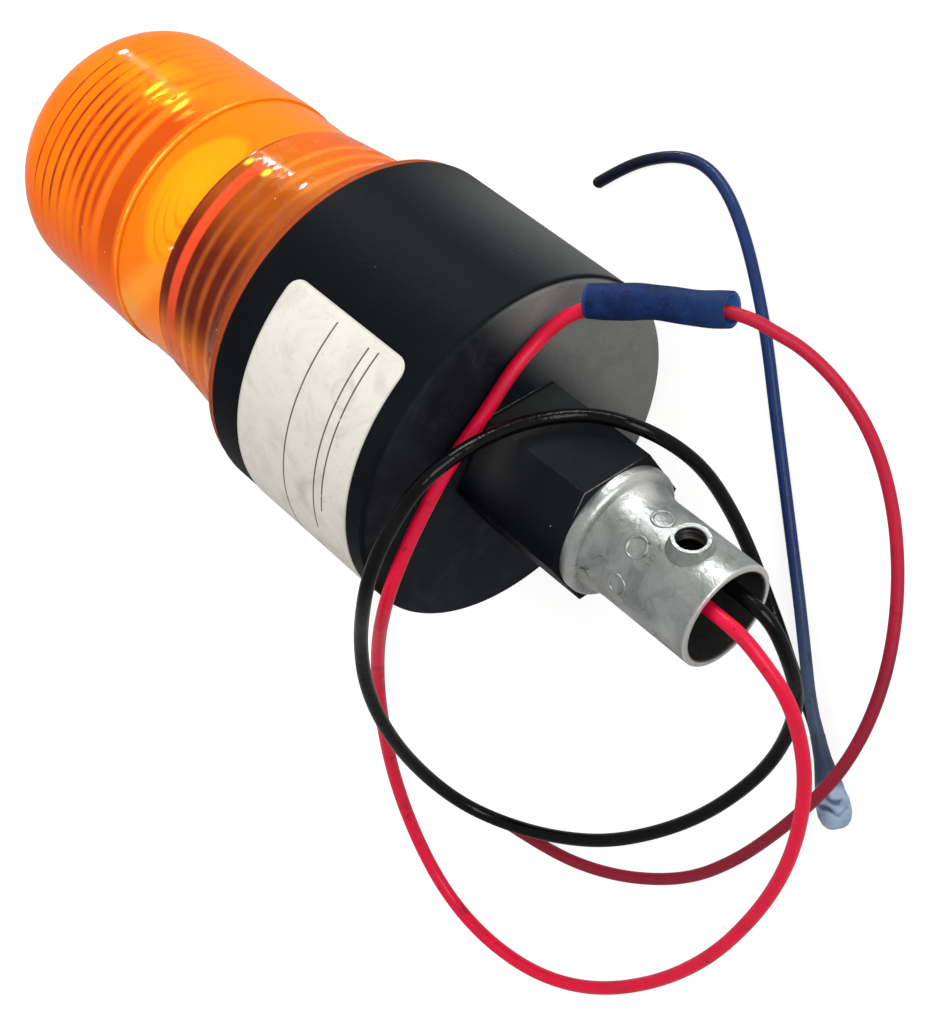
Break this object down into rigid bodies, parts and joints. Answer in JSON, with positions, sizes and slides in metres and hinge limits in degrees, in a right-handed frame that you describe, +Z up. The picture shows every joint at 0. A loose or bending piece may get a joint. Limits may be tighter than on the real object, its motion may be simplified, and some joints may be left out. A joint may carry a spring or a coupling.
{
  "type": "xenon warning strobe",
  "caption": "Conduit-mount xenon flasher: ribbed amber lens on a black cup with a hexagonal boss, a set-screw pipe connector and loose spliced leads.",
  "frame": {"origin": "on the table, under the beacon's axis, midway between the lens tip and the connector's mouth", "axes": "+X along the beacon's axis from the lens to the conduit mouth, +Z up, +Y the side the splice sleeve lies on"},
  "size_m": [0.2145, 0.1626, 0.0737],
  "materials": {
    "housing": "moulded satin",
    "connector": "die cast, dull",
    "label": "printed film",
    "lens": "clear amber",
    "gasket": "matt",
    "bush": "matt",
    "steel": "plated",
    "deck": "mill finish",
    "post": "moulded",
    "ceramic": "glazed",
    "flash_glass": "clear",
    "bare_wire": "tinned",
    "board": "laminate",
    "capacitor": "sleeved",
    "core": "ferrite",
    "winding": "taped",
    "component": "dipped",
    "red": "smooth",
    "dark_red": "smooth",
    "black": "smooth",
    "blue": "smooth",
    "sleeve_blue": "matt",
    "cap_blue": "matt"
  },
  "bodies": {
    "housing": {"housing": "housing", "conduit_connector": "connector", "id_label": "label", "lead_bush": "bush", "deck_plate": "deck", "deck_screw_1": "steel", "deck_screw_2": "steel", "deck_screw_3": "steel", "lamp_post": "post", "tube_platform": "ceramic", "flash_tube": "flash_glass", "trigger_wire": "bare_wire", "lamp_lead_1": "bare_wire", "lamp_lead_2": "bare_wire", "board_spacer_1": "steel", "board_spacer_2": "steel", "board_spacer_3": "steel", "board_screw_1": "steel", "board_screw_2": "steel", "board_screw_3": "steel", "circuit_board": "board", "storage_capacitor": "capacitor", "transformer_core": "core", "transformer_winding": "winding", "trigger_coil": "winding", "power_transistor": "component", "film_capacitor": "component", "bleed_resistor": "component", "limit_resistor": "component", "rectifier_diode": "component", "red_tail": "red", "black_tail": "black", "red_lead": "red", "black_lead": "black", "blue_lead": "blue", "red_extension": "dark_red", "splice_sleeve": "sleeve_blue", "splice_barrel": "steel", "splice_cap": "cap_blue"},
    "lens_gasket": {"lens_gasket": "gasket"},
    "lens": {"lens": "lens"}
  },
  "joints": [
    {"name": "lens_advance", "type": "slide", "parent": "housing", "child": "lens_gasket", "axis": [-1, 0, 0], "range_m": [0, 0.0081]},
    {"name": "lens_turn", "type": "hinge", "parent": "lens_gasket", "child": "lens", "pos_m": [0, 0, 0.0368], "axis": [-1, 0, 0], "range_deg": [0, 720]}
  ],
  "couplings": [
    {"joint": "lens_advance", "follows": "lens_turn", "m_per_rad": 0.00063662}
  ]
}
